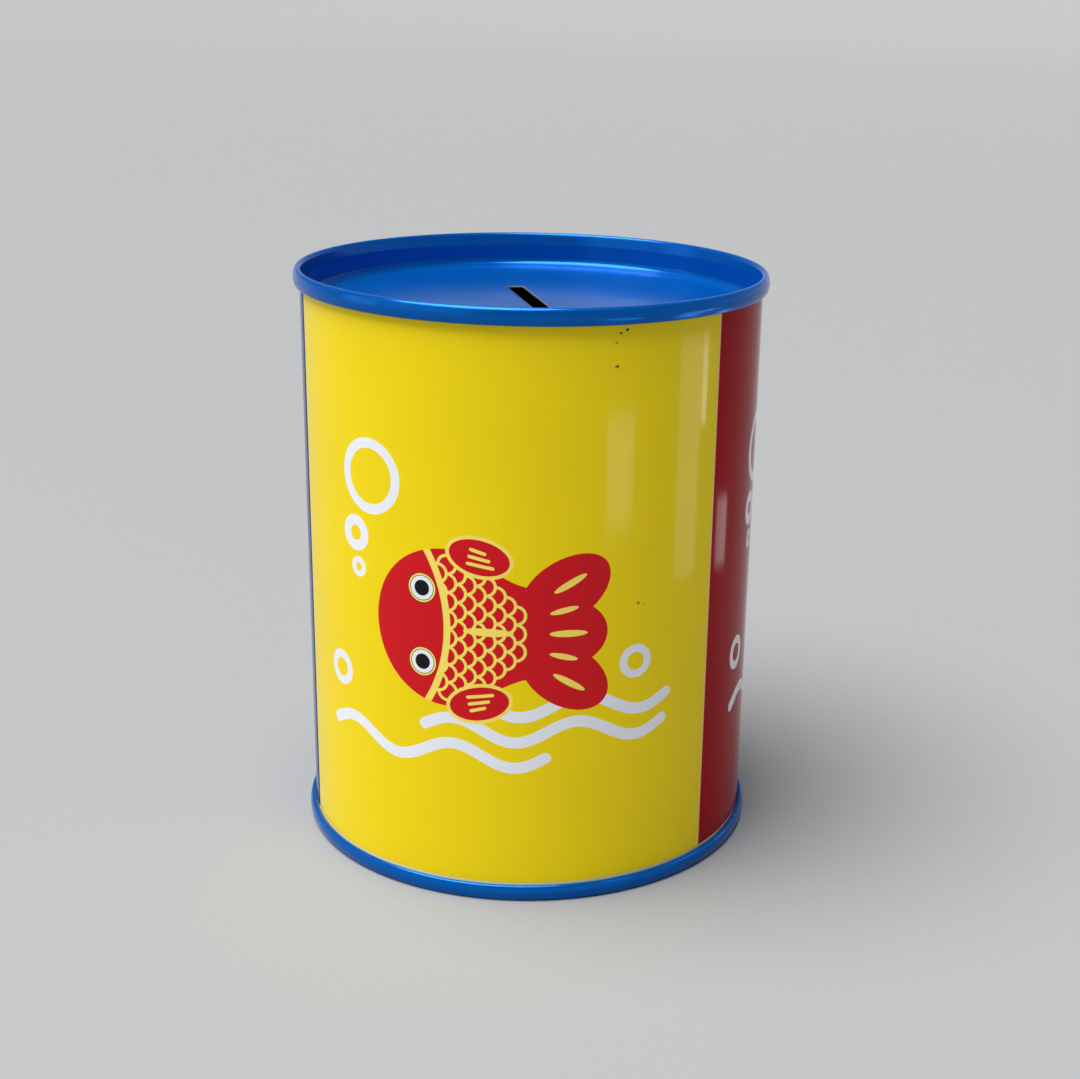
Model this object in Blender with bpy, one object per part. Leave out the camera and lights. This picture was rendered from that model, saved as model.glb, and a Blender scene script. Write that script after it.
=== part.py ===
"""Tin money box: a rolled tinplate body with a blue end double-seamed on at each end.

The top end has a coin slot. The bottom end has a round hole with a push-in stopper.
Metres, +Z up. The origin is the centre of the base. -Y faces the front panel, and the side's
lock seam is 60 degrees round from there, towards -X.
"""

import math

import bmesh
import bpy

# Driving dimensions
HEIGHT = 0.1066
BODY_R = 0.0420
PLATE = 0.00026
LAYER_GAP = 0.00008
SEAM_HEIGHT = 0.0030
SEAM_CROWN = 0.00016
COMPOUND_ROOM = 0.0004
COMPOUND_WIDTH = 0.00052
COMPOUND_THICKNESS = 0.00022
COMPOUND_CLEARANCE = 0.00006
HOOK_LAP = 0.0012
LID_DEPTH = 0.0063
BASE_DEPTH = 0.0065
CORNER_R = 0.0014
SLOT_LENGTH = 0.0300
SLOT_WIDTH = 0.0030
SLOT_TURN = math.radians(25.9)
SLOT_CUTTER_DEPTH = 0.0026
LOCK_SEAM_ANGLE = math.radians(-60)
LOCK_SEAM_WIDTH = 0.0032
LOCK_SEAM_THICKNESS = 0.00050
LOCK_GROOVE_WIDTH = 0.0005
LOCK_GROOVE_DEPTH = 0.00012
STOPPER_HOLE_R = 0.0150
STOPPER_CLEARANCE = 0.0003
STOPPER_FLANGE_R = 0.0180
STOPPER_FLANGE_THICKNESS = 0.0017
STOPPER_SKIRT_HEIGHT = 0.0050
STOPPER_WALL = 0.0016
STOPPER_TAB_REACH = 0.0034
FACETS = 60
END_BLUE = (0.0, 0.09, 0.62)

# The double seam's five layers, counted outwards from the end's chuck wall
PITCH = PLATE + LAYER_GAP
CHUCK_R = BODY_R - PLATE - PITCH
BODY_HOOK_R = BODY_R + LAYER_GAP + PITCH
SEAMING_WALL_R = BODY_HOOK_R + PITCH
RIM_R = SEAMING_WALL_R + PLATE
ARCH_R = (RIM_R - CHUCK_R) / 2
ARCH_MIDDLE_R = (RIM_R + CHUCK_R) / 2

# Bends in the seam, and how far each level lies from the box's end
FLAT_HALF_ANGLE = math.radians(15)
ARCH_CENTRE = ARCH_R * math.cos(FLAT_HALF_ANGLE)
BODY_ARCH_TOP = PLATE + COMPOUND_ROOM
BODY_BEND = (BODY_HOOK_R + PLATE - (BODY_R - PLATE)) / 2
BODY_BEND_MIDDLE_R = (BODY_HOOK_R + PLATE + BODY_R - PLATE) / 2
BODY_ARCH_CENTRE = BODY_ARCH_TOP + BODY_BEND
COVER_BEND = (RIM_R - (BODY_R + LAYER_GAP)) / 2
COVER_BEND_MIDDLE_R = (RIM_R + BODY_R + LAYER_GAP) / 2
COVER_ARCH_CENTRE = SEAM_HEIGHT - COVER_BEND
COVER_HOOK_END = BODY_ARCH_CENTRE + LAYER_GAP
BODY_HOOK_END = COVER_HOOK_END + HOOK_LAP


def arc(centre_r, centre_z, radius, first, last, steps):
    """Points (r, z) on an arc, with angles in degrees from the outward direction towards +z."""
    points = []
    for i in range(steps + 1):
        angle = math.radians(first + (last - first) * i / steps)
        points.append((centre_r + radius * math.cos(angle), centre_z + radius * math.sin(angle)))
    return points


def turned(name, profile, closed=True):
    """A solid turned from (r, z) points given anticlockwise, with facets centred on -Y.

    An open profile starts and ends at the middle, where a flat cap closes it.
    """
    mesh = bpy.data.meshes.new(name)
    shape = bmesh.new()
    rings = []
    for r, z in profile:
        ring = []
        for i in range(FACETS):
            angle = (i + 0.5) * 2 * math.pi / FACETS
            ring.append(shape.verts.new((r * math.sin(angle), -r * math.cos(angle), z)))
        rings.append(ring)
    count = len(rings)
    for k in range(count if closed else count - 1):
        lower, upper = rings[k], rings[(k + 1) % count]
        for i in range(FACETS):
            j = (i + 1) % FACETS
            shape.faces.new((lower[i], lower[j], upper[j], upper[i]))
    if not closed:
        shape.faces.new(reversed(rings[0]))
        shape.faces.new(rings[-1])
    shape.to_mesh(mesh)
    shape.free()
    mesh.update()
    solid = bpy.data.objects.new(name, mesh)
    bpy.context.scene.collection.objects.link(solid)
    return solid


def block(name, size, location, turn=0.0):
    """A box of the given size, turned about Z."""
    mesh = bpy.data.meshes.new(name)
    shape = bmesh.new()
    bmesh.ops.create_cube(shape, size=1.0)
    bmesh.ops.scale(shape, vec=size, verts=shape.verts)
    shape.to_mesh(mesh)
    shape.free()
    solid = bpy.data.objects.new(name, mesh)
    solid.location = location
    solid.rotation_euler = (0, 0, turn)
    bpy.context.scene.collection.objects.link(solid)
    return solid


def tool(solid):
    """Marks a cutter or an added shape, which isn't a piece of its own."""
    solid.hide_render = True
    solid.display_type = "WIRE"
    return solid


def join(solid, other, operation):
    modifier = solid.modifiers.new(other.name, "BOOLEAN")
    modifier.operation = operation
    modifier.object = tool(other)
    modifier.solver = "EXACT"


def finish(solid, colour, roughness, metallic):
    """Smooth shading on the round faces, and the piece's own material."""
    solid.data.shade_smooth()
    solid.data.set_sharp_from_angle(angle=math.radians(40))
    material = bpy.data.materials.new(solid.name)
    material.use_nodes = True
    shader = material.node_tree.nodes["Principled BSDF"]
    shader.inputs["Base Color"].default_value = (*colour, 1)
    shader.inputs["Roughness"].default_value = roughness
    shader.inputs["Metallic"].default_value = metallic
    solid.data.materials.append(material)


def mirrored(profile):
    """The same profile at the other end of the box, still anticlockwise."""
    return [(r, HEIGHT - z) for r, z in reversed(profile)]


def at_angle(radius, angle, z):
    """A point at an angle measured from -Y towards +X."""
    return (radius * math.sin(angle), -radius * math.cos(angle), z)


def body_hook():
    """The body's flange, bent out and down over the top edge, from the wall's inside to its outside."""
    top = HEIGHT - BODY_ARCH_CENTRE
    outer = arc(BODY_BEND_MIDDLE_R, top, BODY_BEND, 0, 180, 4)
    inner = arc(BODY_BEND_MIDDLE_R, top, BODY_BEND - PLATE, 180, 0, 3)
    end = HEIGHT - BODY_HOOK_END
    return inner + [(BODY_HOOK_R, end), (BODY_HOOK_R + PLATE, end)] + outer


def make_body_wall():
    """The printed body: one rolled sheet, hooked at both ends, with a lock seam down its side."""
    wall = turned("body_wall", mirrored(body_hook()) + body_hook())
    low = BASE_DEPTH + PLATE + CORNER_R
    rib_length = HEIGHT - 2 * low
    buried = PLATE / 2
    apothem = (BODY_R - PLATE) * math.cos(math.pi / FACETS)
    rib = block(
        "lock_seam_layers",
        (LOCK_SEAM_WIDTH, LOCK_SEAM_THICKNESS + buried, rib_length),
        at_angle(apothem + (buried - LOCK_SEAM_THICKNESS) / 2, LOCK_SEAM_ANGLE, HEIGHT / 2),
        LOCK_SEAM_ANGLE,
    )
    join(wall, rib, "UNION")
    face = BODY_R * math.cos(math.pi / FACETS)
    groove = block(
        "lock_seam_groove",
        (LOCK_GROOVE_WIDTH, 2 * LOCK_GROOVE_DEPTH, HEIGHT - 2 * SEAM_HEIGHT),
        at_angle(face, LOCK_SEAM_ANGLE, HEIGHT / 2),
        LOCK_SEAM_ANGLE,
    )
    join(wall, groove, "DIFFERENCE")
    finish(wall, (0.88, 0.66, 0.0), 0.25, 0.0)


def seamed_rim(panel_depth):
    """The end's metal from the panel corner's top face, over the rim, round the cover hook and back."""
    corner_z = HEIGHT - panel_depth + CORNER_R
    rim_z = HEIGHT - ARCH_CENTRE
    curl_z = HEIGHT - COVER_ARCH_CENTRE
    cover_r = BODY_R + LAYER_GAP
    cover_end = HEIGHT - COVER_HOOK_END
    flat = math.degrees(FLAT_HALF_ANGLE)
    corner_top = arc(CHUCK_R - CORNER_R, corner_z, CORNER_R, 0, -90, 3)
    rim_outside = arc(ARCH_MIDDLE_R, rim_z, ARCH_R, 180, 90 + flat, 3)
    rim_outside += arc(ARCH_MIDDLE_R, rim_z, ARCH_R, 90 - flat, 0, 3)
    crown = [(RIM_R + SEAM_CROWN, HEIGHT - SEAM_HEIGHT / 2)]
    curl_outside = arc(COVER_BEND_MIDDLE_R, curl_z, COVER_BEND, 0, -180, 4)
    hook_end = [(cover_r, cover_end), (cover_r + PLATE, cover_end)]
    curl_inside = arc(COVER_BEND_MIDDLE_R, curl_z, COVER_BEND - PLATE, -180, 0, 3)
    rim_inside = arc(ARCH_MIDDLE_R, rim_z, ARCH_R - PLATE, 0, 180, 5)
    corner_below = arc(CHUCK_R - CORNER_R, corner_z, CORNER_R + PLATE, 0, -90, 3)
    clockwise = corner_top[::-1] + rim_outside + crown + curl_outside + hook_end
    clockwise += curl_inside + rim_inside + corner_below
    return clockwise[::-1]


def make_top_end():
    """The lid: a flat sunk panel with the coin slot, its wall, and the outer half of the top seam."""
    end = turned("top_end", seamed_rim(LID_DEPTH), closed=False)
    slot = block(
        "coin_slot",
        (SLOT_WIDTH, SLOT_LENGTH, SLOT_CUTTER_DEPTH),
        (0, 0, HEIGHT - LID_DEPTH),
        SLOT_TURN,
    )
    join(end, slot, "DIFFERENCE")
    finish(end, END_BLUE, 0.2, 0.0)


def make_bottom_end():
    """The base: the same end upside down, with a round hole for the stopper."""
    hole = [
        (STOPPER_HOLE_R, BASE_DEPTH + PLATE),
        (STOPPER_HOLE_R, BASE_DEPTH),
    ]
    end = turned("bottom_end", hole + mirrored(seamed_rim(BASE_DEPTH)))
    finish(end, END_BLUE, 0.2, 0.0)


def compound_ring():
    """The sealing compound lies in the seam's crest, over the body hook."""
    low = HEIGHT - BODY_ARCH_TOP + COMPOUND_CLEARANCE
    high = low + COMPOUND_THICKNESS
    inner = ARCH_MIDDLE_R - COMPOUND_WIDTH / 2
    outer = ARCH_MIDDLE_R + COMPOUND_WIDTH / 2
    return [(inner, low), (outer, low), (outer, high), (inner, high)]


def make_seam_compounds():
    for name, profile in (
        ("top_seam_compound", compound_ring()),
        ("bottom_seam_compound", mirrored(compound_ring())),
    ):
        finish(turned(name, profile), (0.75, 0.72, 0.6), 0.6, 0.0)


def make_stopper():
    """A soft plug with a flange under the base panel, a skirt through the hole and a lift tab."""
    flange_top = BASE_DEPTH - STOPPER_CLEARANCE / 2
    flange_low = flange_top - STOPPER_FLANGE_THICKNESS
    floor = flange_top - PLATE
    skirt_r = STOPPER_HOLE_R - STOPPER_CLEARANCE
    skirt_top = BASE_DEPTH + PLATE + STOPPER_SKIRT_HEIGHT
    edge = STOPPER_FLANGE_THICKNESS / 4
    lead = STOPPER_WALL / 3
    profile = [
        (STOPPER_FLANGE_R - edge, flange_low),
        (STOPPER_FLANGE_R, flange_low + edge),
        (STOPPER_FLANGE_R, flange_top),
        (skirt_r, flange_top),
        (skirt_r, skirt_top - 2 * lead),
        (skirt_r - lead, skirt_top),
        (skirt_r - STOPPER_WALL, skirt_top),
        (skirt_r - STOPPER_WALL, floor),
    ]
    stopper = turned("stopper", profile, closed=False)
    tab = block(
        "lift_tab",
        (3 * STOPPER_TAB_REACH, 2 * STOPPER_TAB_REACH, STOPPER_FLANGE_THICKNESS / 2),
        (0, -STOPPER_FLANGE_R, flange_low + STOPPER_FLANGE_THICKNESS / 2),
    )
    join(stopper, tab, "UNION")
    finish(stopper, (0.02, 0.02, 0.022), 0.45, 0.0)


def main():
    for existing in list(bpy.data.objects):
        bpy.data.objects.remove(existing, do_unlink=True)
    make_body_wall()
    make_top_end()
    make_bottom_end()
    make_seam_compounds()
    make_stopper()


main()
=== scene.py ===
"""Looks of the tin money box: its printed body, lacquered ends, coin slot and base stopper."""

import math

import bmesh
import bpy
import numpy as np
from mathutils import Matrix, Vector
from mathutils.geometry import delaunay_2d_cdt


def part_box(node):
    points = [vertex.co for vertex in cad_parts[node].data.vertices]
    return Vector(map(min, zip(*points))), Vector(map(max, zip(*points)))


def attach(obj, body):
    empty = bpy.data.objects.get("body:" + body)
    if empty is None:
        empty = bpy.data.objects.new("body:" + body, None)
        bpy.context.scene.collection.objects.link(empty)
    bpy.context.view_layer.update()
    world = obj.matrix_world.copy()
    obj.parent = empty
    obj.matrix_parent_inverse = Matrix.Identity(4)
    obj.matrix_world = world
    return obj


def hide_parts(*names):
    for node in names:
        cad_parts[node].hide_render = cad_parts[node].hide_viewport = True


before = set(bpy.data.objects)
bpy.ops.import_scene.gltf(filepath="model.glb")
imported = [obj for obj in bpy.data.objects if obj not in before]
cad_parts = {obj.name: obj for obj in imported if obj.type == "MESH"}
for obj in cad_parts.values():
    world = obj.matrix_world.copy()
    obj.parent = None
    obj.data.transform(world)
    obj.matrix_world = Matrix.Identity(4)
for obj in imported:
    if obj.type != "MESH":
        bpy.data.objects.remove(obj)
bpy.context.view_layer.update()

MM = 0.001


def node_radius(node):
    """The largest distance of a CAD node's corners from the can's axis."""
    return max(math.hypot(v.co.x, v.co.y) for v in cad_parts[node].data.vertices)


# ---------------------------------------------------------------- dimensions

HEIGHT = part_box("top_end")[1].z
CROWN_R = node_radius("top_end")
PLATE = 0.26 * MM
LAYER_GAP = 0.08 * MM
SEAM_CROWN = 0.16 * MM
SEAM_HEIGHT = 3.0 * MM
SEAM_LEAN = 0.25 * MM
LEAN_LOW = 2.35 * MM
COMPOUND_ROOM = 0.4 * MM
HOOK_LAP = 1.2 * MM
CORNER_R = 1.4 * MM
LID_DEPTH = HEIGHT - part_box("top_end")[0].z - PLATE
BASE_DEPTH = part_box("bottom_end")[1].z - PLATE
PITCH = PLATE + LAYER_GAP
RIM_R = CROWN_R - SEAM_CROWN
BODY_R = RIM_R - PLATE - 2 * PITCH - LAYER_GAP
CHUCK_R = BODY_R - PLATE - PITCH
SEAMING_WALL_R = RIM_R - PLATE
ARCH_R = (RIM_R - CHUCK_R) / 2
ARCH_MIDDLE_R = (RIM_R + CHUCK_R) / 2
FLAT_HALF_ANGLE = 15
ARCH_CENTRE = ARCH_R * math.cos(math.radians(FLAT_HALF_ANGLE))
BODY_BEND = (PLATE + PITCH + LAYER_GAP + 2 * PLATE) / 2
SLOT_LENGTH = 30 * MM
SLOT_WIDTH = 3.0 * MM
SLOT_TURN = math.radians(25.9)
STOPPER_HOLE_R = 15 * MM
ROUND = 288

# The printed sheet, in degrees round the can from -Y towards +X
SEAM_ANGLE = -60.0
PRINT_PITCH = 120.0
RED_START = 62.6
BLUE_START = RED_START + PRINT_PITCH
DEGREE = BODY_R * math.radians(1) / MM


# ---------------------------------------------------------------- materials


def new_material(name):
    """A material with its node tree's nodes, links and Principled shader."""
    material = bpy.data.materials.new(name)
    material.use_nodes = True
    tree = material.node_tree
    return material, tree, tree.nodes["Principled BSDF"]


def add(tree, kind, **values):
    """A shader node with its properties or input sockets set by name."""
    node = tree.nodes.new(kind)
    for key, value in values.items():
        if hasattr(node, key):
            setattr(node, key, value)
        else:
            node.inputs[key.replace("_", " ")].default_value = value
    return node


def noise(tree, scale, detail=3.0, roughness=0.55, stretch=(1, 1, 1)):
    """Noise over the object's own coordinates, in cells per metre."""
    place = add(tree, "ShaderNodeTexCoord")
    mapping = add(tree, "ShaderNodeMapping", Scale=stretch)
    texture = add(tree, "ShaderNodeTexNoise", Scale=scale, Detail=detail, Roughness=roughness)
    tree.links.new(place.outputs["Object"], mapping.inputs["Vector"])
    tree.links.new(mapping.outputs["Vector"], texture.inputs["Vector"])
    return texture.outputs["Fac"]


def remap(tree, value, low, high, to_low, to_high):
    """A value's range stretched to another, and clamped there."""
    node = add(tree, "ShaderNodeMapRange", From_Min=low, From_Max=high, To_Min=to_low, To_Max=to_high)
    tree.links.new(value, node.inputs["Value"])
    return node.outputs["Result"]


def mix_colour(tree, factor, first, second):
    """A colour mix whose ends are colours or sockets."""
    node = tree.nodes.new("ShaderNodeMix")
    node.data_type = "RGBA"
    sockets = [s for s in node.inputs if s.type == "RGBA"]
    for socket, value in zip(sockets, (first, second)):
        if isinstance(value, tuple):
            socket.default_value = value
        else:
            tree.links.new(value, socket)
    if isinstance(factor, float):
        node.inputs[0].default_value = factor
    else:
        tree.links.new(factor, node.inputs[0])
    return [s for s in node.outputs if s.type == "RGBA"][0]


def shade(colour, share):
    """A colour made lighter or darker, with its alpha."""
    return (*(min(1.0, c * share) for c in colour), 1.0)


def bumps(tree, layers):
    """Bump nodes in a chain: each layer is (height socket, distance in metres, strength)."""
    normal = None
    for height, distance, strength in layers:
        node = add(tree, "ShaderNodeBump", Distance=distance, Strength=strength)
        tree.links.new(height, node.inputs["Height"])
        if normal:
            tree.links.new(normal, node.inputs["Normal"])
        normal = node.outputs["Normal"]
    return normal


def scuff_mask(tree, scale, cover):
    """Sparse hair scratches and rubs, 1 where the lacquer is worn."""
    hairs = noise(tree, scale, 2.0, 0.5, (1, 1, 0.06))
    patches = noise(tree, scale * 0.12, 3.0, 0.6)
    fine = remap(tree, hairs, 0.72 - cover, 0.75 - cover, 0.0, 1.0)
    where = remap(tree, patches, 0.56, 0.66, 0.0, 1.0)
    both = add(tree, "ShaderNodeMath", operation="MULTIPLY")
    tree.links.new(fine, both.inputs[0])
    tree.links.new(where, both.inputs[1])
    return both.outputs[0]


WORN_SHARE = 0.25
WORN_TONE = 0.8


def lacquer(name, colour, roughness=0.1, worn=0.0, gloss=0.18, metal=0.0):
    """Glossy ink or lacquer on tinplate: faint ink grain, smudges, orange peel and sheet waviness.

    metal is the share of the tin's shine that comes through the lacquer.
    """
    material, tree, shader = new_material(name)
    density = remap(tree, noise(tree, 60.0, 3.0), 0.3, 0.7, 0.0, 1.0)
    grain = remap(tree, noise(tree, 5200.0, 2.0), 0.3, 0.7, 0.0, 1.0)
    cloudy = mix_colour(tree, density, shade(colour, 0.965), shade(colour, 1.03))
    grainy = mix_colour(tree, grain, shade(colour, 0.97), shade(colour, 1.03))
    base = mix_colour(tree, 0.5, cloudy, grainy)
    if worn:
        scuffs = scuff_mask(tree, 2600.0, worn)
        faded = tuple((1 - WORN_SHARE) * c + WORN_SHARE * WORN_TONE for c in colour)
        base = mix_colour(tree, remap(tree, scuffs, 0.0, 1.0, 0.0, 0.55), base, (*faded, 1.0))
    tree.links.new(base, shader.inputs["Base Color"])
    smudges = noise(tree, 45.0, 5.0, 0.65)
    tree.links.new(
        remap(tree, smudges, 0.35, 0.7, roughness * 0.75, roughness * 1.6), shader.inputs["Roughness"]
    )
    shader.inputs["IOR"].default_value = 1.5
    shader.inputs["Specular IOR Level"].default_value = gloss
    shader.inputs["Metallic"].default_value = metal
    peel = noise(tree, 900.0, 2.0)
    ripple = noise(tree, 55.0, 1.0, 0.4, (1, 1, 0.35))
    tree.links.new(bumps(tree, [(ripple, 0.0009, 0.05), (peel, 0.00004, 0.12)]), shader.inputs["Normal"])
    return material


def tinplate(name, colour=(0.72, 0.71, 0.68), roughness=0.32):
    """Bare tinplate: bright metal with a rolled grain and faint dull patches."""
    material, tree, shader = new_material(name)
    patches = remap(tree, noise(tree, 120.0, 4.0), 0.35, 0.7, 0.0, 1.0)
    streaks = noise(tree, 1500.0, 3.0, 0.6, (1, 1, 0.05))
    base = mix_colour(tree, patches, shade(colour, 0.86), shade(colour, 1.06))
    base = mix_colour(tree, remap(tree, streaks, 0.45, 0.75, 0.0, 0.35), base, shade(colour, 0.7))
    tree.links.new(base, shader.inputs["Base Color"])
    tree.links.new(
        remap(tree, streaks, 0.3, 0.7, roughness * 0.8, roughness * 1.35), shader.inputs["Roughness"]
    )
    shader.inputs["Metallic"].default_value = 1.0
    tree.links.new(bumps(tree, [(streaks, 0.00003, 0.2)]), shader.inputs["Normal"])
    return material


def rust_chip(name):
    """Spots where the ink has chipped off and the steel has browned."""
    material, tree, shader = new_material(name)
    spots = noise(tree, 4000.0, 4.0)
    base = mix_colour(tree, spots, (0.012, 0.005, 0.002, 1.0), (0.06, 0.02, 0.006, 1.0))
    tree.links.new(base, shader.inputs["Base Color"])
    tree.links.new(remap(tree, spots, 0.3, 0.7, 0.6, 0.9), shader.inputs["Roughness"])
    tree.links.new(bumps(tree, [(spots, 0.0001, 0.4)]), shader.inputs["Normal"])
    return material


def moulded_plastic(name, colour):
    """Soft moulded plastic: fine matt grain, faint flow lines and dust."""
    material, tree, shader = new_material(name)
    grain = noise(tree, 3800.0, 3.0)
    flow = noise(tree, 160.0, 4.0, 0.6, (1, 0.3, 1))
    cloudy = remap(tree, flow, 0.35, 0.7, 0.0, 1.0)
    base = mix_colour(tree, cloudy, shade(colour, 0.85), shade(colour, 1.35))
    tree.links.new(base, shader.inputs["Base Color"])
    tree.links.new(remap(tree, flow, 0.3, 0.7, 0.36, 0.52), shader.inputs["Roughness"])
    tree.links.new(bumps(tree, [(grain, 0.00006, 0.25)]), shader.inputs["Normal"])
    return material


def sealing_compound(name):
    """Cured rubbery seam compound."""
    material, tree, shader = new_material(name)
    lumps = noise(tree, 2500.0, 3.0)
    base = mix_colour(tree, lumps, (0.55, 0.52, 0.4, 1.0), (0.72, 0.69, 0.56, 1.0))
    tree.links.new(base, shader.inputs["Base Color"])
    tree.links.new(remap(tree, lumps, 0.3, 0.7, 0.55, 0.75), shader.inputs["Roughness"])
    tree.links.new(bumps(tree, [(lumps, 0.0001, 0.3)]), shader.inputs["Normal"])
    return material


# Colours in linear light
YELLOW = (0.87, 0.66, 0.0)
RED = (0.6, 0.004, 0.01)
DEEP_RED = (0.34, 0.001, 0.005)
BLUE = (0.0, 0.100, 0.43)
DEEP_BLUE = (0.0, 0.035, 0.16)
WHITE = (0.80, 0.83, 0.90)
CREAM = (0.93, 0.74, 0.13)
BLACK = (0.004, 0.004, 0.006)
TAN = (0.80, 0.55, 0.26)
# Painted highlight: a pale ink that stands in for the bright light caught just above the base seam
PAINTED_HIGHLIGHT_TONE = (0.86, 0.76, 0.42)


# ---------------------------------------------------------------- flat drawing, in millimetres


def circle(u, v, radius):
    """A circle, in steps of about 0.22 mm."""
    steps = max(20, int(2 * math.pi * radius / 0.22))
    return [
        (u + radius * math.cos(2 * math.pi * i / steps), v + radius * math.sin(2 * math.pi * i / steps))
        for i in range(steps)
    ]


def ellipse(u, v, half_length, half_height, turn=0.0):
    """An ellipse turned by an angle in degrees, in steps of about 0.3 mm."""
    steps = max(24, int(2 * math.pi * half_length / 0.3))
    c, s = math.cos(math.radians(turn)), math.sin(math.radians(turn))
    points = []
    for i in range(steps):
        a = 2 * math.pi * i / steps
        x, y = half_length * math.cos(a), half_height * math.sin(a)
        points.append((u + x * c - y * s, v + x * s + y * c))
    return points


def arc_line(u, v, radius, first, last):
    """Part of a circle, between two angles in degrees."""
    steps = max(6, int(abs(math.radians(last - first)) * radius / 0.25))
    angles = [math.radians(first + (last - first) * i / steps) for i in range(steps + 1)]
    return [(u + radius * math.cos(a), v + radius * math.sin(a)) for a in angles]


def stroke(line, width):
    """The outline of a line drawn with a round pen."""
    half = width / 2
    points = np.array(line, float)
    along = np.gradient(points, axis=0)
    along /= np.linalg.norm(along, axis=1)[:, None]
    across = np.stack([-along[:, 1], along[:, 0]], axis=1) * half
    cap = max(4, int(math.pi * half / 0.2))

    def end(centre, start):
        """The pen's half circle round an end of the line."""
        first = math.atan2(start[1], start[0])
        turns = [first - math.pi * i / cap for i in range(1, cap)]
        return [(centre[0] + half * math.cos(a), centre[1] + half * math.sin(a)) for a in turns]

    left = [tuple(p) for p in points + across]
    right = [tuple(p) for p in (points - across)[::-1]]
    return left + end(points[-1], across[-1]) + right + end(points[0], -across[0])


def wave(first, last, height):
    """A white water line that ends on its middle height at the right."""
    steps = int((last - first) / 0.4)
    places = [first + (last - first) * i / steps for i in range(steps + 1)]
    line = [(u, height + WAVE_SWING * math.sin(2 * math.pi * (u - last) / WAVE_LENGTH)) for u in places]
    return stroke(line, WAVE_PEN)


class Drawing:
    """Shapes painted one over another. Each has an ink, its outlines, and outlines that clip it."""

    def __init__(self):
        self.shapes = []

    def paint(self, ink, *outlines, clips=()):
        outlines = [np.array(o, float) for o in outlines]
        clips = [np.array(c, float) for c in clips]
        self.shapes.append((ink, outlines, clips))

    def inks_at(self, points, ground):
        """The topmost ink at each point, over the ground's inks."""
        found = np.array(ground)
        for ink, outlines, clips in self.shapes:
            low = np.min([o.min(0) for o in outlines], axis=0)
            high = np.max([o.max(0) for o in outlines], axis=0)
            near = np.flatnonzero(((points >= low) & (points <= high)).all(1))
            if not len(near):
                continue
            inside = sum(contains(o, points[near]) for o in outlines) % 2 == 1
            for clip in clips:
                inside &= contains(clip, points[near])
            found[near[inside]] = ink
        return found


def contains(outline, points):
    """Whether each point lies inside the closed outline."""
    x0, y0 = outline[:, 0], outline[:, 1]
    x1, y1 = np.roll(x0, -1), np.roll(y0, -1)
    x, y = points[:, :1], points[:, 1:]
    crosses = (y0 > y) != (y1 > y)
    rise = np.where(y1 == y0, 1.0, y1 - y0)
    at = x0 + (y - y0) * (x1 - x0) / rise
    return (crosses & (x < at)).sum(1) % 2 == 1


# ---------------------------------------------------------------- the printed picture

WAVE_LENGTH = 21.85
WAVE_SWING = 1.93
WAVE_PEN = 2.1
NOSE = -20.8
WIDEST = -6.8
BODY_HALF = 14.3
TAIL_ROOT = 9.0
TAIL_ROOT_HALF = 8.2
COLLAR_CENTRE = -34.0
COLLAR_R = 27.3
SCALE_R = 1.9
SCALE_LINE = 0.52
SCALE_COLUMN = 1.72
SCALE_ROW = 3.3
SCALES_START = -8.4
SCALES_MIDDLE = -4.5
SCALES_HALF_LENGTH = 10.6
SCALES_HALF_WIDTH = 12.4
FIN_U = -1.0
FIN_V = 13.3
FIN_TURN = -12
EYE_U = -11.4
EYE_V = 6.75
FISH_U = 1.9
FISH_V = 50.8


def fish_body():
    """A round head that narrows in an easy curve to the root of the tail."""
    head = []
    for i in range(37):
        a = math.radians(90 + 5 * i)
        head.append((WIDEST + (WIDEST - NOSE) * math.cos(a), BODY_HALF * math.sin(a)))
    back = []
    for i in range(1, 25):
        share = i / 24
        half = TAIL_ROOT_HALF + (BODY_HALF - TAIL_ROOT_HALF) * 0.5 * (1 + math.cos(math.pi * share))
        back.append((WIDEST + share * (TAIL_ROOT - WIDEST), half))
    return head + [(u, -v) for u, v in back] + back[::-1]


def moved(points, u, v):
    """The points shifted by (u, v)."""
    return [(x + u, y + v) for x, y in points]


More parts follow.
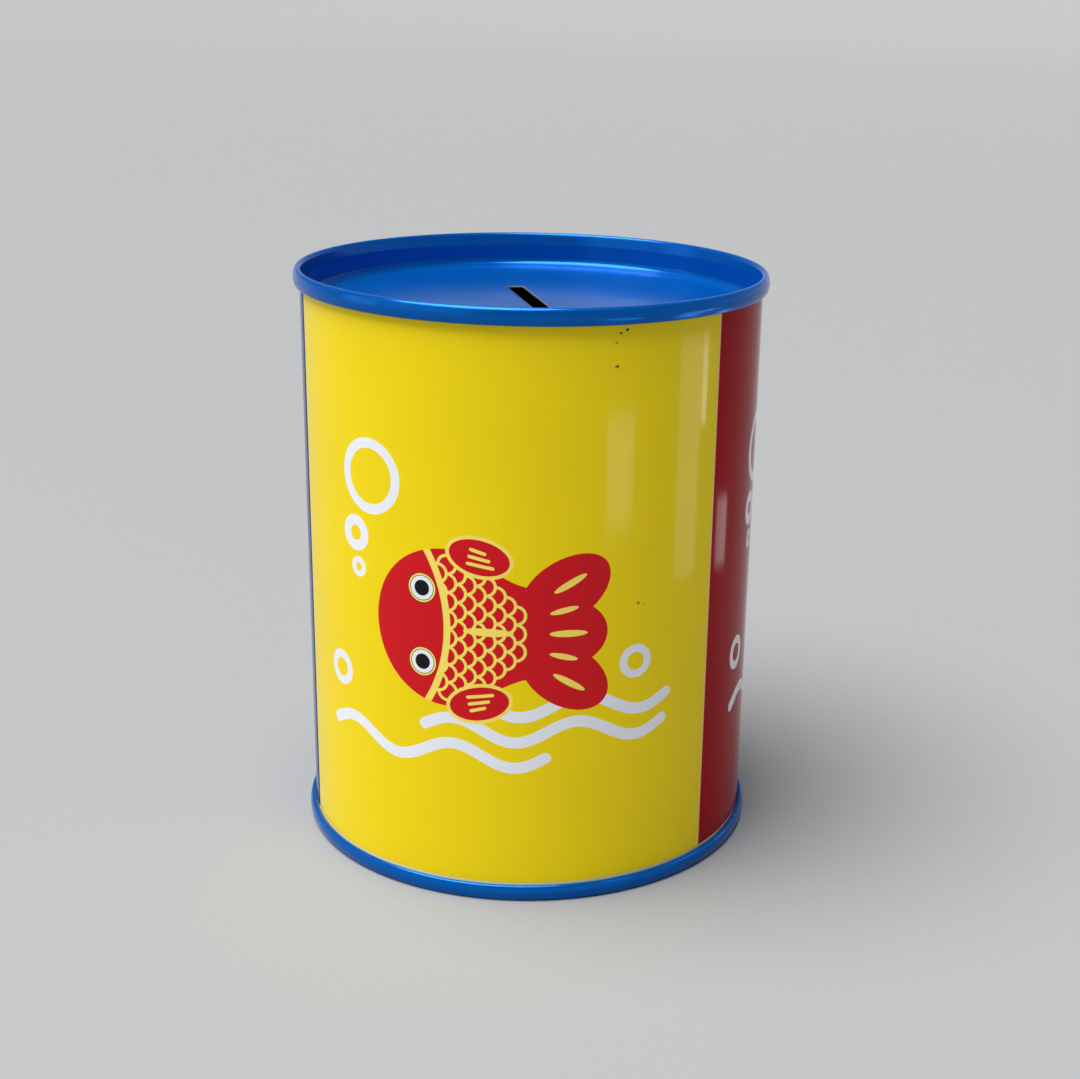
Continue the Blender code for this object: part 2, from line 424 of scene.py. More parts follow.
def paint_fish(art, u, v, skin, line):
    """A plain goldfish seen from above, nose towards -u."""

    def put(ink, *outlines, clips=()):
        """Paints shapes given from the fish's middle."""
        art.paint(ink, *(moved(o, u, v) for o in outlines), clips=[moved(c, u, v) for c in clips])

    body = fish_body()
    for side in (1, -1):
        put(skin, ellipse(13.9, side * 7.8, 8.5, 5.4, side * 33))
    put(skin, ellipse(13.2, 0, 8.1, 6.2))
    put(skin, body)
    put(line, ellipse(14.4, 0, 3.3, 0.62))
    for side in (1, -1):
        put(line, ellipse(13.6, side * 4.2, 2.5, 0.52, side * 13))
        put(line, ellipse(14.6, side * 9.0, 3.2, 0.6, side * 30))

    for column in range(8, -2, -1):
        for row in range(-4, 5):
            x = column * SCALE_COLUMN + SCALES_START
            y = (row + 0.5 * (column % 2)) * SCALE_ROW
            if ((x - SCALES_MIDDLE) / SCALES_HALF_LENGTH) ** 2 + (y / SCALES_HALF_WIDTH) ** 2 < 1:
                put(line, circle(x, y, SCALE_R), clips=(body,))
                put(skin, circle(x, y, SCALE_R - SCALE_LINE), clips=(body,))
    put(line, ellipse(0.6, 0, 4.4, 0.72))

    collar = arc_line(COLLAR_CENTRE, 0, COLLAR_R, -36, 36)
    put(skin, collar + [(COLLAR_CENTRE, BODY_HALF), (COLLAR_CENTRE, -BODY_HALF)], clips=(body,))
    put(line, stroke(collar, 1.25), clips=(body,))

    for side in (1, -1):
        put(line, ellipse(FIN_U, side * FIN_V, 6.0, 3.7, side * FIN_TURN))
        put(skin, ellipse(FIN_U, side * FIN_V, 5.35, 3.05, side * FIN_TURN))
        for i in range(3):
            first = (-3.0 + 0.3 * i, side * (12.2 + 1.25 * i))
            last = (1.4 - 0.7 * i, side * (11.5 + 1.25 * i))
            put(line, stroke([first, last], 0.6))
        for ink, radius in (
            ("print_black", 2.72),
            (line, 2.6),
            ("print_black", 2.28),
            ("print_white", 2.16),
            ("print_black", 1.42),
        ):
            put(ink, circle(EYE_U, side * EYE_V, radius))


def paint_panel(art, middle, skin, line):
    """One panel's bubbles, water lines and fish, placed from the panel's middle and the base."""
    for u, v, outer, inner in (
        (-20.4, 75.5, 6.7, 4.9),
        (-24.2, 64.6, 3.25, 1.35),
        (-23.6, 58.5, 1.85, 0.75),
        (-29.5, 37.9, 3.3, 1.75),
        (28.7, 44.4, 3.1, 1.65),
    ):
        art.paint("print_white", circle(middle + u, v, outer), circle(middle + u, v, inner))
    for first, last, height in ((-31.3, 12.5, 27.65), (-9.2, 34.5, 32.5), (-2.0, 35.3, 37.3)):
        art.paint("print_white", wave(middle + first, middle + last, height))
    paint_fish(art, middle + FISH_U, FISH_V, skin, line)


def chip(u, v, size, turn):
    """A small ragged spot."""
    points = []
    for i in range(11):
        a = 2 * math.pi * i / 11
        r = size * (0.75 + 0.3 * math.sin(3 * a + turn) + 0.15 * math.cos(5 * a - turn))
        points.append((u + 1.3 * r * math.cos(a + turn), v + r * math.sin(a + turn)))
    return points


def sheet_drawing():
    """The whole printed sheet, unrolled. u is millimetres round the can from -Y."""
    art = Drawing()
    for index, (skin, line) in enumerate(
        (("print_red", "print_cream"), ("print_cream", "print_red"), ("print_red", "print_cream"))
    ):
        paint_panel(art, index * PRINT_PITCH * DEGREE, skin, line)
    for angle, v, size in (
        (33.1, 102.2, 0.27),
        (34.6, 102.7, 0.33),
        (32.1, 100.6, 0.20),
        (32.4, 96.7, 0.34),
        (39.4, 55.1, 0.28),
        (40.8, 54.8, 0.14),
    ):
        art.paint("rust_chip", chip(angle * DEGREE, v, size, angle))
    return art


# ---------------------------------------------------------------- mesh helpers


def new_piece(name, points, faces, materials, indices=None, normals=None):
    """A mesh object from points in metres, with smooth shading."""
    mesh = bpy.data.meshes.new(name)
    mesh.from_pydata([tuple(p) for p in points], [], [tuple(f) for f in faces])
    for material in materials:
        mesh.materials.append(material)
    if indices is not None:
        mesh.polygons.foreach_set("material_index", np.array(indices, np.int32))
    mesh.shade_smooth()
    mesh.update()
    if normals is not None:
        mesh.normals_split_custom_set_from_vertices([tuple(n) for n in normals])
    piece = bpy.data.objects.new(name, mesh)
    bpy.context.scene.collection.objects.link(piece)
    return piece


def even_normals(piece):
    """Shading normals weighted by face area, so that flat faces beside small bends stay flat."""
    modifier = piece.modifiers.new("even_normals", "WEIGHTED_NORMAL")
    modifier.keep_sharp = True


def arc(centre_r, depth, radius, first, last, steps):
    """Points (r, depth below the crest) on an arc. Angles run from outwards towards the crest."""
    points = []
    for i in range(steps + 1):
        angle = math.radians(first + (last - first) * i / steps)
        points.append((centre_r + radius * math.cos(angle), depth - radius * math.sin(angle)))
    return points


def leaned(profile):
    """The seam's inner layers lean outwards towards the crest, and its outer wall stays upright."""
    points = []
    for r, depth in profile:
        share = min(1.0, max(0.0, (SEAMING_WALL_R - r) / (SEAMING_WALL_R - CHUCK_R)))
        rise = min(1.0, max(0.0, (LEAN_LOW - depth) / (LEAN_LOW - ARCH_CENTRE)))
        points.append((r + SEAM_LEAN * share * rise, depth))
    return points


def polar(r, angle, z):
    """A point r out from the axis, at an angle in radians from -Y towards +X."""
    return (r * math.sin(angle), -r * math.cos(angle), z)


# ---------------------------------------------------------------- the printed body

GROOVE_FOLD = 0.34
GROOVE_SLOPE = 0.85
SHALLOW = 0.58
RIB_HALF = 1.7
RIB_THICKNESS = 0.5
RIB_START = BASE_DEPTH / MM + 1.3
RIB_FULL = RIB_START + 0.7
VISIBLE_LOW = SEAM_HEIGHT / MM - 0.3
# The top of the pale band of ink that paints the highlight above the base seam
PAINTED_HIGHLIGHT_TOP = SEAM_HEIGHT / MM + 0.25
TAN_LINE = 0.36


def groove_share(z):
    """How much of the groove's depth there is.

    None is left in the end seams, and less of it outside the rib's ends.
    """
    inside = min(z, HEIGHT / MM - z)
    levels = (VISIBLE_LOW, SEAM_HEIGHT / MM, RIB_START, RIB_FULL)
    return float(np.interp(inside, levels, (0.0, SHALLOW, SHALLOW, 1.0)))


def seam_offset(u):
    """Millimetres round the can from the lock seam, positive on the front panel's side."""
    turn = 360 * DEGREE
    return (u - SEAM_ANGLE * DEGREE + turn / 2) % turn - turn / 2


def groove_depth(u):
    """The lock seam's outside: the front panel's rounded fold, then the next sheet dipping under it."""
    d = seam_offset(u)
    if 0 <= d < GROOVE_FOLD:
        return GROOVE_FOLD - math.sqrt(GROOVE_FOLD**2 - (GROOVE_FOLD - d) ** 2)
    if -GROOVE_SLOPE < d < 0:
        return GROOVE_FOLD * 0.5 * (1 + math.cos(math.pi * d / GROOVE_SLOPE))
    return 0.0


def rib_height(u):
    """The lock seam's folded layers, inside."""
    d = abs(seam_offset(u))
    return RIB_THICKNESS * min(1.0, max(0.0, (RIB_HALF - d) / 0.35))


def body_columns():
    """Places round the sheet, from one side of the lock seam to the other, closer beside it."""
    left = SEAM_ANGLE * DEGREE
    width = 360 * DEGREE
    near = [0.0, 0.015, 0.05, 0.1, 0.16, 0.23, 0.34, 0.5, 0.7, 0.85, 1.1, 1.35, 1.7, 2.1]
    count = round((width - 2 * near[-1]) / (1.25 * DEGREE))
    between = [near[-1] + (width - 2 * near[-1]) * i / count for i in range(1, count)]
    even = [left + d for d in near + between] + [left + width - d for d in reversed(near)]
    borders = [RED_START * DEGREE - TAN_LINE, RED_START * DEGREE, BLUE_START * DEGREE]
    return sorted([u for u in even if min(abs(u - b) for b in borders) > 0.1] + borders)


def sheet_rows():
    """Heights across the sheet, with those where the groove's depth changes."""
    ends = [VISIBLE_LOW, SEAM_HEIGHT / MM, PAINTED_HIGHLIGHT_TOP, 5.5, RIB_START, RIB_FULL]
    middle = [RIB_FULL + (HEIGHT / MM - 2 * RIB_FULL) * i / 23 for i in range(1, 23)]
    return ends + middle + [HEIGHT / MM - z for z in reversed(ends)]


def ground_ink(u, v):
    """The panel colours, with a pale band at the base that paints a highlight, and a thin line beside
    the red panel.
    """
    # A pale band of ink along the sheet's foot paints the highlight just above the base seam
    if v < PAINTED_HIGHLIGHT_TOP:
        return "print_pale_line"
    if RED_START * DEGREE - TAN_LINE < u < RED_START * DEGREE:
        return "print_tan"
    if u < RED_START * DEGREE:
        return "print_yellow"
    return "print_deep_red" if u < BLUE_START * DEGREE else "print_blue"


def sheet_mesh(columns, rows, art):
    """The outside of the sheet, cut along the drawing's outlines: flat points, triangles and inks."""
    points, edges = [], []
    across = len(columns)
    for j, v in enumerate(rows):
        for i, u in enumerate(columns):
            points.append((u, v))
            if i:
                edges.append((j * across + i - 1, j * across + i))
            if j:
                edges.append(((j - 1) * across + i, j * across + i))
    for _, outlines, clips in art.shapes:
        for outline in outlines + clips:
            first = len(points)
            count = len(outline)
            points.extend(tuple(p) for p in outline)
            edges.extend((first + i, first + (i + 1) % count) for i in range(count))
    flat, _, triangles, *_ = delaunay_2d_cdt([Vector(p) for p in points], edges, [], 0, 1e-5)
    flat = np.array([tuple(p) for p in flat])
    triangles = np.array([tuple(t) for t in triangles])
    a, b, c = (flat[triangles[:, k]] for k in range(3))
    doubled = (b[:, 0] - a[:, 0]) * (c[:, 1] - a[:, 1]) - (b[:, 1] - a[:, 1]) * (c[:, 0] - a[:, 0])
    triangles[doubled < 0] = triangles[doubled < 0][:, ::-1]
    middles = (a + b + c) / 3
    ground = np.array([ground_ink(u, v) for u, v in middles], dtype=object)
    return flat, triangles, art.inks_at(middles, ground)


def hook_profile():
    """The flange from the wall's outside, over into the body hook and back to the wall's inside."""
    bend_r = BODY_R + BODY_BEND - PLATE
    centre = PLATE + COMPOUND_ROOM + BODY_BEND
    hook_end = centre + LAYER_GAP + HOOK_LAP
    inner = arc(bend_r, centre, BODY_BEND - PLATE, 180, 0, 5)
    outer = arc(bend_r, centre, BODY_BEND, 0, 180, 7)
    hook_r = bend_r + BODY_BEND
    return leaned(inner + [(hook_r - PLATE, hook_end), (hook_r, hook_end)] + outer)


def make_body(inks):
    """One rolled sheet: the printed outside, the hooks in both end seams and the bare inside."""
    columns = body_columns()
    rows = sheet_rows()
    flat, triangles, names = sheet_mesh(columns, rows, sheet_drawing())

    points, normals = [], []
    for u, v in flat:
        angle = u / DEGREE * math.pi / 180
        share = groove_share(v)
        points.append(polar(BODY_R - groove_depth(u) * share * MM, angle, v * MM))
        slope = share * (groove_depth(u + 0.01) - groove_depth(u - 0.01)) / 0.02
        slope = max(-3.0, min(3.0, slope))
        out = Vector(polar(1, angle, 0)) + slope * Vector((math.cos(angle), math.sin(angle), 0))
        normals.append(out.normalized())
    left, right = columns[0], columns[-1]
    twin = {round(v, 3): i for i, (u, v) in enumerate(flat) if abs(u - left) < 1e-3}
    join = np.arange(len(flat))
    for i, (u, v) in enumerate(flat):
        if abs(u - right) < 1e-3:
            join[i] = twin[round(v, 3)]
    faces = [tuple(join[list(t)]) for t in triangles]
    indices = [inks.index(name) for name in names]

    def boundary(v):
        """The sheet's corners along one of its ends, in order round the can."""
        found = [(u, i) for i, (u, w) in enumerate(flat) if abs(w - v) < 1e-3 and abs(u - right) > 1e-3]
        return [i for _, i in sorted(found)]

    levels = [LEAN_LOW, RIB_START * MM, RIB_FULL * MM, HEIGHT / 4]
    heights = [HEIGHT - z for z in levels] + [HEIGHT / 2] + levels[::-1]
    hidden = [(r, HEIGHT - depth) for r, depth in hook_profile()]
    hidden += [(BODY_R - PLATE, z) for z in heights]
    hidden += [(r, depth) for r, depth in reversed(hook_profile())]
    previous = boundary(rows[-1])
    turns = [flat[i][0] / DEGREE * math.pi / 180 for i in previous]
    for r, z in hidden:
        ring = []
        ribbed = RIB_FULL * MM - 1e-6 < z < HEIGHT - RIB_FULL * MM + 1e-6
        for angle in turns:
            inner = rib_height(math.degrees(angle) * DEGREE) * MM if ribbed else 0.0
            ring.append(len(points))
            points.append(polar(r - inner, angle, z))
            normals.append(Vector((0, 0, 0)))
        previous = bridge(faces, previous, ring)
        indices += [inks.index("bare_tin")] * len(ring)
    bridge(faces, previous, boundary(rows[0]))
    indices += [inks.index("bare_tin")] * len(previous)
    return points, faces, indices, normals


def bridge(faces, upper, lower):
    """Quads between two rings of equal count. Returns the lower ring."""
    count = len(upper)
    for i in range(count):
        j = (i + 1) % count
        faces.append((upper[i], upper[j], lower[j], lower[i]))
    return lower


# ---------------------------------------------------------------- the two ends


ROLLED_EDGE = ((0.0, 0.12 * MM), (0.2 * MM, 0.06 * MM), (0.4 * MM, 0.02 * MM), (0.75 * MM, 0.0))
UNDERSIDE_ROLL = 0.3
PANEL_RINGS = ((0.995, ROUND), (0.93, 120), (0.8, 90), (0.65, 72), (0.5, 60))


def end_profile(panel_depth):
    """The end's metal from the panel's corner over the rim to the cover hook, and back below."""
    corner = panel_depth - CORNER_R
    cover_r = BODY_R + LAYER_GAP
    bend = (RIM_R - cover_r) / 2
    bend_r = cover_r + bend
    curl = SEAM_HEIGHT - bend
    hook_end = PLATE + COMPOUND_ROOM + BODY_BEND + LAYER_GAP
    seen = arc(CHUCK_R - CORNER_R, corner, CORNER_R, -90, 0, 8)
    seen += [(CHUCK_R, LEAN_LOW + 0.35 * MM), (CHUCK_R, LEAN_LOW), (CHUCK_R, LEAN_LOW - 0.3 * MM)]
    seen += arc(ARCH_MIDDLE_R, ARCH_CENTRE, ARCH_R, 180, 90 + FLAT_HALF_ANGLE, 7)
    seen += arc(ARCH_MIDDLE_R, ARCH_CENTRE, ARCH_R, 90 - FLAT_HALF_ANGLE, 0, 7)
    for i in range(1, 8):
        share = i / 8
        crown = SEAM_CROWN * math.sin(math.pi * share)
        seen.append((RIM_R + crown, ARCH_CENTRE + share * (curl - ARCH_CENTRE)))
    seen += arc(bend_r, curl, bend, 0, -180, 8)
    seen += [(cover_r, hook_end), (cover_r + PLATE, hook_end)]
    below = arc(bend_r, curl, bend - PLATE, -180, 0, 6)
    below += arc(ARCH_MIDDLE_R, ARCH_CENTRE, ARCH_R - PLATE, 0, 180, 10)
    below += [(CHUCK_R + PLATE, LEAN_LOW)]
    below += arc(CHUCK_R - CORNER_R, corner, CORNER_R + PLATE, 0, -90, 6)
    return leaned(seen + below)


def slot_outline(grow):
    """The coin slot's outline, grown by a distance in metres."""
    half_long, half_wide = SLOT_LENGTH / 2 + grow, SLOT_WIDTH / 2 + grow
    corner = 0.3 * MM + grow
    c, s = math.cos(SLOT_TURN), math.sin(SLOT_TURN)
    points = []
    for side, way, first in ((1, 1, 0), (-1, 1, 90), (-1, -1, 180), (1, -1, 270)):
        for i in range(7):
            a = math.radians(first + 15 * i)
            x = side * (half_wide - corner) + corner * math.cos(a)
            y = way * (half_long - corner) + corner * math.sin(a)
            points.append((x * c - y * s, x * s + y * c))
    return points


def ring_points(radius, count, start=0.0):
    """Points (x, y) round the axis, in steps counted from -Y towards +X."""
    return [polar(radius, 2 * math.pi * (i + start) / count, 0)[:2] for i in range(count)]


def stopper_hole(grow):
    """The base's round hole, grown by a distance in metres."""
    return ring_points(STOPPER_HOLE_R + grow, 144)


def panel_skin(points, ring, outline, is_top):
    """One side of the flat panel, from its corner's ring to the hole, whose edge is rolled down.

    Adds the new points. Returns the triangles, their materials and the hole's ring.
    """
    x, y, z = points[ring[0]]
    flat = [points[i][:2] for i in ring]
    edges = [(i, (i + 1) % ROUND) for i in range(ROUND)]
    drops = [0.0] * ROUND
    shapes = []
    for grow, drop in ROLLED_EDGE:
        shape = outline(grow)
        first = len(flat)
        count = len(shape)
        shapes.append(np.array(shape))
        flat += shape
        edges += [(first + i, first + (i + 1) % count) for i in range(count)]
        drops += [drop if is_top else UNDERSIDE_ROLL * drop] * count
    for share, count in PANEL_RINGS:
        flat += ring_points(share * math.hypot(x, y), count, 0.5)
        drops += [0.0] * count
    scaled = [Vector(p) / MM for p in flat]
    found, _, triangles, sources, *_ = delaunay_2d_cdt(scaled, edges, [], 0, 1e-6)

    index = []
    for place, source in zip(found, sources):
        if source[0] < ROUND:
            index.append(ring[source[0]])
            continue
        index.append(len(points))
        points.append((place.x * MM, place.y * MM, z - drops[source[0]]))
    hole, cut_edge = shapes[:2]
    place_of = {source[0]: i for source, i in zip(sources, index)}
    hole_ring = [place_of[ROUND + i] for i in range(len(hole))]
    faces, materials = [], []
    for triangle in triangles:
        corners = np.array([found[k] for k in triangle]) * MM
        middle = corners.mean(0)[None, :]
        if contains(hole, middle)[0]:
            continue
        (ax, ay), (bx, by), (cx, cy) = corners
        faces_up = (bx - ax) * (cy - ay) - (by - ay) * (cx - ax) > 0
        face = [index[k] for k in triangle]
        faces.append(face if faces_up == is_top else face[::-1])
        materials.append(1 if contains(cut_edge, middle)[0] else 0)
    return faces, materials, hole_ring


def make_end(name, panel_depth, upside_down, outline, colour_material, edge_material):
    """A pressed end: its turned rim, and its panel with the hole's rolled and bare cut edge."""
    points, faces, indices, rings = [], [], [], []
    for r, depth in end_profile(panel_depth):
        rings.append(range(len(points), len(points) + ROUND))
        points += [(x, y, HEIGHT - depth) for x, y in ring_points(r, ROUND)]
    for upper, lower in zip(rings, rings[1:]):
        bridge(faces, lower, upper)
        indices += [0] * ROUND
    holes = []
    for ring, is_top in ((rings[0], True), (rings[-1], False)):
        skin, materials, hole_ring = panel_skin(points, ring, outline, is_top)
        faces += skin
        indices += materials
        holes.append(hole_ring)
    bridge(faces, *holes)
    indices += [1] * len(holes[0])
    if upside_down:
        points = [(x, y, HEIGHT - z) for x, y, z in points]
        faces = [f[::-1] for f in faces]
    piece = new_piece(name, points, faces, [colour_material, edge_material], indices)
    piece.data.set_sharp_from_angle(angle=math.radians(50))
    even_normals(piece)
    return piece


# ---------------------------------------------------------------- the stopper


def make_stopper(material):
    """A moulded plug: rounded flange dished in its middle, snap lip, hollow skirt and a lift tab."""
    low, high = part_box("stopper")
    flange_r = 18 * MM
    flange_top = BASE_DEPTH - 0.15 * MM
    thick = flange_top - low.z
    skirt_r = STOPPER_HOLE_R - 0.3 * MM
    wall = 1.6 * MM
    top = high.z
    floor = flange_top - PLATE

    def corner(r, z, radius, first, last, steps=6):
        """Points (r, z) on an arc, between two angles in degrees."""
        points = []
        for i in range(steps + 1):
            a = math.radians(first + (last - first) * i / steps)
            points.append((r + radius * math.cos(a), z + radius * math.sin(a)))
        return points

    edge = thick * 0.42
    dish_r = 9.0 * MM
    dish_depth = 0.35 * MM
    dish_rim_r = 10.2 * MM
    profile = [(0.3 * MM, low.z + dish_depth), (dish_r, low.z + dish_depth)]
    profile += corner(dish_rim_r, low.z + dish_depth, dish_depth, -180, -90)[3:]
    profile += corner(flange_r - edge, low.z + edge, edge, -90, 0)
    profile += corner(flange_r - 0.25 * MM, flange_top - 0.25 * MM, 0.25 * MM, 0, 90, 4)
    profile += [(skirt_r + 0.3 * MM, flange_top), (skirt_r - 0.12 * MM, flange_top + 0.2 * MM)]
    profile += [(skirt_r - 0.12 * MM, flange_top + 0.6 * MM)]
    profile += corner(skirt_r - 0.45 * MM, flange_top + 1.35 * MM, 0.45 * MM, -60, 75)
    profile += corner(skirt_r - 1.0 * MM, top - 0.45 * MM, 0.45 * MM, 20, 90)
    profile += corner(skirt_r - wall + 0.3 * MM, top - 0.3 * MM, 0.3 * MM, 90, 180)
    profile += corner(skirt_r - wall - 0.6 * MM, floor + 0.6 * MM, 0.6 * MM, 0, -90)
    profile += [(0.3 * MM, floor)]
    shape = bmesh.new()
    rings = []
    count = 144
    for r, z in profile:
        rings.append([shape.verts.new(polar(r, 2 * math.pi * i / count, z)) for i in range(count)])
    for a, b in zip(rings, rings[1:]):
        for i in range(count):
            j = (i + 1) % count
            shape.faces.new((a[i], a[j], b[j], b[i]))
    shape.faces.new(rings[0][::-1])
    shape.faces.new(rings[-1])
    mesh = bpy.data.meshes.new("stopper_plug")
    shape.to_mesh(mesh)
    shape.free()
    mesh.materials.append(material)
    plug = bpy.data.objects.new("stopper_plug", mesh)
    bpy.context.scene.collection.objects.link(plug)

    tab = lift_tab(low.z + thick * 0.28, low.z + thick * 0.72, flange_r, material)
    union = plug.modifiers.new("tab", "BOOLEAN")
    union.operation = "UNION"
    union.object = tab
    union.solver = "EXACT"
    apply_modifiers(plug)
    bpy.data.objects.remove(tab, do_unlink=True)
    plug.data.shade_smooth()
    plug.data.set_sharp_from_angle(angle=math.radians(38))
    even_normals(plug)
    return plug


def lift_tab(low, high, flange_r, material):
    """A rounded thumb tab that reaches out past the flange."""
    shape = bmesh.new()
    outline = []
    half, reach, corner = 4.6 * MM, 3.3 * MM, 2.2 * MM
    y_out, y_in = -(flange_r + reach), -(flange_r - 2.5 * MM)
    outline.append((-half, y_in))
    for x, first in ((-half + corner, 180), (half - corner, 270)):
        for i in range(9):
            a = math.radians(first + 90 * i / 8)
            outline.append((x + corner * math.cos(a), y_out + corner + corner * math.sin(a)))
    outline.append((half, y_in))
    base = [shape.verts.new((x, y, low)) for x, y in outline]
    face = shape.faces.new(base)
    extruded = bmesh.ops.extrude_face_region(shape, geom=[face])
    moved_verts = [v for v in extruded["geom"] if isinstance(v, bmesh.types.BMVert)]
    bmesh.ops.translate(shape, vec=(0, 0, high - low), verts=moved_verts)
    bmesh.ops.recalc_face_normals(shape, faces=shape.faces)
    flat_edges = [e for e in shape.edges if abs(e.verts[0].co.z - e.verts[1].co.z) < 1e-7]
    outer = [e for e in flat_edges if min(v.co.y for v in e.verts) < -flange_r]
    bmesh.ops.bevel(shape, geom=outer, offset=0.18 * MM, segments=3, affect="EDGES", profile=0.5)
    mesh = bpy.data.meshes.new("tab_shape")
    shape.to_mesh(mesh)
    shape.free()
    mesh.materials.append(material)
    tab = bpy.data.objects.new("tab_shape", mesh)
    bpy.context.scene.collection.objects.link(tab)
    return tab


def apply_modifiers(piece):
    """Replaces the piece's mesh by its evaluated one."""
    graph = bpy.context.evaluated_depsgraph_get()
    mesh = bpy.data.meshes.new_from_object(piece.evaluated_get(graph))
    piece.modifiers.clear()
    piece.data = mesh


# ---------------------------------------------------------------- stage, lights and camera


LAMP_WHITE = (1.0, 0.985, 0.96)


def make_stage():
    """A pale round floor that curves up into a wall on every side."""
    material, tree, shader = new_material("pale_floor")
    speckle = noise(tree, 700.0, 3.0)
    base = mix_colour(tree, speckle, (0.26, 0.265, 0.273, 1.0), (0.28, 0.286, 0.294, 1.0))
    tree.links.new(base, shader.inputs["Base Color"])
    shader.inputs["Roughness"].default_value = 0.75
    flat_r, bend, top = 4.0, 2.0, 3.0
    section = [(r, 0.0) for r in (0.2, 0.5, 0.8)]
    for i in range(19):
        a = math.radians(5 * i)
        section.append((flat_r + bend * math.sin(a), bend - bend * math.cos(a)))
    section.append((flat_r + bend, top))
    steps = 96
    points = [(0.0, 0.0, 0.0)]
    for r, z in section:
        points += [polar(r, 2 * math.pi * i / steps, z) for i in range(steps)]
    faces = [(0, 1 + i, 1 + (i + 1) % steps) for i in range(steps)]
    for k in range(len(section) - 1):
        inner, outer = 1 + k * steps, 1 + (k + 1) * steps
        for i in range(steps):
            j = (i + 1) % steps
            faces.append((inner + i, outer + i, outer + j, inner + j))
    new_piece("floor", points, faces, [material])


def area_light(name, azimuth, elevation, distance, size, power, colour=(1, 1, 1), aim=0.055):
    """A soft light round the box. Azimuth is measured from the camera's side towards its right."""
    data = bpy.data.lights.new(name, "AREA")
    data.shape = "RECTANGLE"
    data.size, data.size_y = size
    data.energy = power
    data.color = colour
    light = bpy.data.objects.new(name, data)
    a, e = math.radians(azimuth) + VIEW_TURN, math.radians(elevation)
    place = Vector(polar(distance * math.cos(e), a, aim + distance * math.sin(e)))
    light.location = place
    light.rotation_mode = "QUATERNION"
    light.rotation_quaternion = (place - Vector((0, 0, aim))).to_track_quat("Z", "Y")
    light.visible_camera = False
    bpy.context.scene.collection.objects.link(light)
    return light


def window_pane(name, azimuth, distance, low, high, width, power):
    """A bright upright strip that shows only as a reflection in the glossy ink."""
    pane = area_light(name, azimuth, 0, distance, (width, high - low), power, aim=(low + high) / 2)
    pane.visible_diffuse = False
    return pane


def soft_sun(azimuth, elevation, power, angle):
    """Even soft light over the whole stage. Azimuth is measured as for an area light."""
    data = bpy.data.lights.new("soft_sun", "SUN")
    data.energy = power
    data.angle = math.radians(angle)
    data.color = (1.0, 0.99, 0.97)
    light = bpy.data.objects.new("soft_sun", data)
    a, e = math.radians(azimuth) + VIEW_TURN, math.radians(elevation)
    light.rotation_mode = "QUATERNION"
    light.rotation_quaternion = Vector(polar(math.cos(e), a, math.sin(e))).to_track_quat("Z", "Y")
    bpy.context.scene.collection.objects.link(light)


def make_lights():
    """An even soft sun and two soft lamps from the left, and upright panes at the right."""
    soft_sun(-66, 72, 5.9, 50)
    area_light("key", -50, 30, 0.6, (0.45, 0.45), 0.4, LAMP_WHITE)
    area_light("low_key", -85, 16, 0.8, (0.3, 0.35), 0.3, LAMP_WHITE)
    window_pane("pane", 75, 0.174, 0.010, 0.072, 0.040, 0.014)
    window_pane("narrow_pane", 84, 0.180, 0.048, 0.070, 0.010, 0.004)
    window_pane("far_pane", 39.5, 0.190, 0.022, 0.0515, 0.042, 0.011)
    window_pane("side_pane", 102, 0.180, 0.006, 0.025, 0.028, 0.009)
    world = bpy.data.worlds.new("studio")
    world.use_nodes = True
    background = world.node_tree.nodes["Background"]
    background.inputs["Color"].default_value = (0.80, 0.86, 1.0, 1.0)
    background.inputs["Strength"].default_value = 0.15
    bpy.context.scene.world = world
    bpy.context.scene.view_settings.view_transform = "Standard"


VIEW_TURN = math.radians(13.0)
CAMERA_DISTANCE = 7.6245 * BODY_R
CAMERA_HEIGHT = 3.7474 * BODY_R
CAMERA_YAW = math.radians(2.417)
CAMERA_PITCH = math.radians(19.20)
CAMERA_ROLL = math.radians(1.33)
CAMERA_LENS = 58.38
CAMERA_SHIFT = (-0.0551, 0.0390)


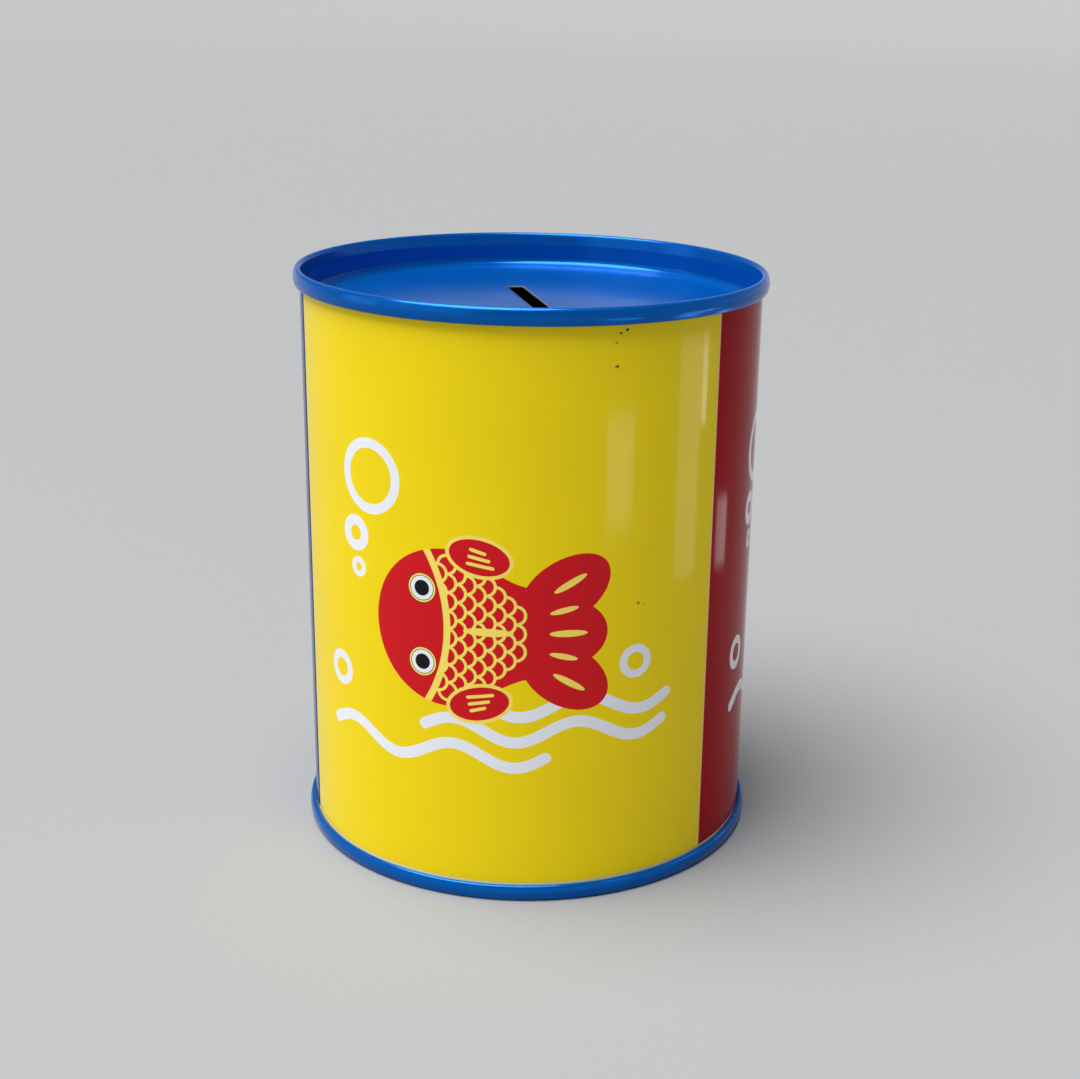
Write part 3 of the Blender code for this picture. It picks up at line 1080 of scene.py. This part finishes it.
def make_camera():
    """The camera stands in front and to the right of the front panel's middle, looking down."""
    data = bpy.data.cameras.new("camera")
    data.lens = CAMERA_LENS
    data.shift_x, data.shift_y = CAMERA_SHIFT
    data.clip_start, data.clip_end = 0.01, 20.0
    forward = Vector(
        (
            math.sin(CAMERA_YAW) * math.cos(CAMERA_PITCH),
            math.cos(CAMERA_YAW) * math.cos(CAMERA_PITCH),
            -math.sin(CAMERA_PITCH),
        )
    )
    level = Vector((math.cos(CAMERA_YAW), -math.sin(CAMERA_YAW), 0))
    upright = level.cross(forward)
    right = math.cos(CAMERA_ROLL) * level + math.sin(CAMERA_ROLL) * upright
    up = -math.sin(CAMERA_ROLL) * level + math.cos(CAMERA_ROLL) * upright
    axes = Matrix((right, up, -forward)).transposed()
    turn = Matrix.Rotation(VIEW_TURN, 3, "Z")
    place = turn @ Vector((0, -CAMERA_DISTANCE, CAMERA_HEIGHT))
    camera = bpy.data.objects.new("camera", data)
    camera.matrix_world = Matrix.Translation(place) @ (turn @ axes).to_4x4()
    bpy.context.scene.collection.objects.link(camera)
    bpy.context.scene.camera = camera


# ---------------------------------------------------------------- assembly


def main():
    """Dresses every piece, then sets the stage."""
    make_camera()
    tin = tinplate("bare_tin")
    blue = lacquer("blue_lacquer", BLUE, roughness=0.16, worn=0.02, gloss=0.14, metal=0.45)
    inks = {
        "print_yellow": lacquer("print_yellow", YELLOW, worn=0.01),
        "print_red": lacquer("print_red", RED),
        "print_deep_red": lacquer("print_deep_red", DEEP_RED, worn=0.01, gloss=0.05),
        "print_blue": lacquer("print_blue", DEEP_BLUE, worn=0.01, gloss=0.05),
        "print_white": lacquer("print_white", WHITE),
        "print_cream": lacquer("print_cream", CREAM),
        "print_black": lacquer("print_black", BLACK),
        "print_tan": lacquer("print_tan", TAN),
        # The pale band at the sheet's foot is a painted highlight, not an ink of the print
        "print_pale_line": lacquer("print_pale_line", PAINTED_HIGHLIGHT_TONE),
        "rust_chip": rust_chip("rust_chip"),
        "bare_tin": tin,
    }
    names = list(inks)
    points, faces, indices, normals = make_body(names)
    body = new_piece("printed_body", points, faces, list(inks.values()), indices, normals)
    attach(body, "can")
    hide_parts("body_wall")

    lid = make_end("lid", LID_DEPTH, False, slot_outline, blue, tin)
    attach(lid, "can")
    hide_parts("top_end")

    base = make_end("base", BASE_DEPTH, True, stopper_hole, blue, tin)
    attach(base, "can")
    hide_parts("bottom_end")

    stopper = make_stopper(moulded_plastic("stopper_plastic", (0.03, 0.03, 0.033)))
    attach(stopper, "plug")
    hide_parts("stopper")

    compound = sealing_compound("sealing_compound")
    for node in ("top_seam_compound", "bottom_seam_compound"):
        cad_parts[node].data.materials.clear()
        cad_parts[node].data.materials.append(compound)

    make_stage()
    make_lights()


main()
